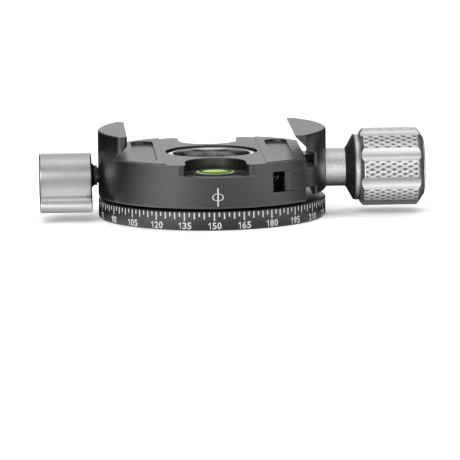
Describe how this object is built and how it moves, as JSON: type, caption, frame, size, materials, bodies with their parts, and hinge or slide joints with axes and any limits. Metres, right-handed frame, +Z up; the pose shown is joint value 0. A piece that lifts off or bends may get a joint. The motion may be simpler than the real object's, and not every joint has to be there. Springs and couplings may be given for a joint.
{
  "type": "panoramic tripod head",
  "caption": "Low round panning head: a base plate with a degree scale, and a dovetail quick-release clamp on it with a screw knob, a pan lock knob and a bubble level.",
  "frame": {"origin": "middle of the base plate's lower face, on the pan axis, at the mouth of the tripod thread", "axes": "+Z up along the pan axis; +X towards the clamp knob; -Y towards the side with the level"},
  "size_m": [0.0848, 0.05, 0.0192],
  "materials": {
    "black_anodised": "satin black anodised",
    "silver_anodised": "bead blasted, clear anodised",
    "bright_steel": "turned and polished",
    "spring_steel": "drawn wire",
    "brass": "turned",
    "black_plastic": "moulded, satin",
    "glide_plastic": "slippery white plastic",
    "level_green": "clear green fluid",
    "level_glass": "clear domed acrylic"
  },
  "bodies": {
    "base": {"base_plate": "black_anodised", "pan_hub": "bright_steel", "hub_screws": "bright_steel"},
    "clamp": {"clamp_body": "black_anodised", "screw_bush": "brass", "glide_ring": "glide_plastic", "flange_washer": "glide_plastic", "front_spring": "spring_steel", "rear_spring": "spring_steel", "level_housing": "black_plastic", "level_fluid": "level_green", "level_bubble": "level_glass", "level_window": "level_glass"},
    "jaw": {"sliding_jaw": "black_anodised"},
    "clamp_handle": {"clamp_knob": "silver_anodised", "knob_cap": "silver_anodised", "knob_ring": "bright_steel", "knob_cone": "black_plastic", "knob_sleeve": "silver_anodised", "clamp_screw": "bright_steel"},
    "brake": {"brake_shoe": "brass"},
    "lock_handle": {"lock_knob": "silver_anodised", "lock_collar": "black_plastic", "lock_screw": "bright_steel"}
  },
  "joints": [
    {"name": "pan_turn", "type": "hinge", "parent": "base", "child": "clamp", "pos_m": [0, 0, 0], "axis": [0, 0, 1], "continuous": true},
    {"name": "jaw_slide", "type": "slide", "parent": "clamp", "child": "jaw", "axis": [1, 0, 0], "range_m": [-0.0015, 0.0025], "deforming": ["front_spring", "rear_spring"]},
    {"name": "clamp_knob_turn", "type": "hinge", "parent": "jaw", "child": "clamp_handle", "pos_m": [0.03, 0, 0.0101], "axis": [1, 0, 0], "range_deg": [-675.1, 1125.1]},
    {"name": "brake_slide", "type": "slide", "parent": "clamp", "child": "brake", "axis": [1, 0, 0], "range_m": [-0.000349, 0]},
    {"name": "lock_turn", "type": "hinge", "parent": "brake", "child": "lock_handle", "pos_m": [-0.03, 0, 0.0092], "axis": [1, 0, 0], "range_deg": [-180, 0]}
  ],
  "couplings": [
    {"joint": "clamp_knob_turn", "follows": "jaw_slide", "rad_per_m": 7854},
    {"joint": "lock_turn", "follows": "brake_slide", "rad_per_m": 8976}
  ]
}
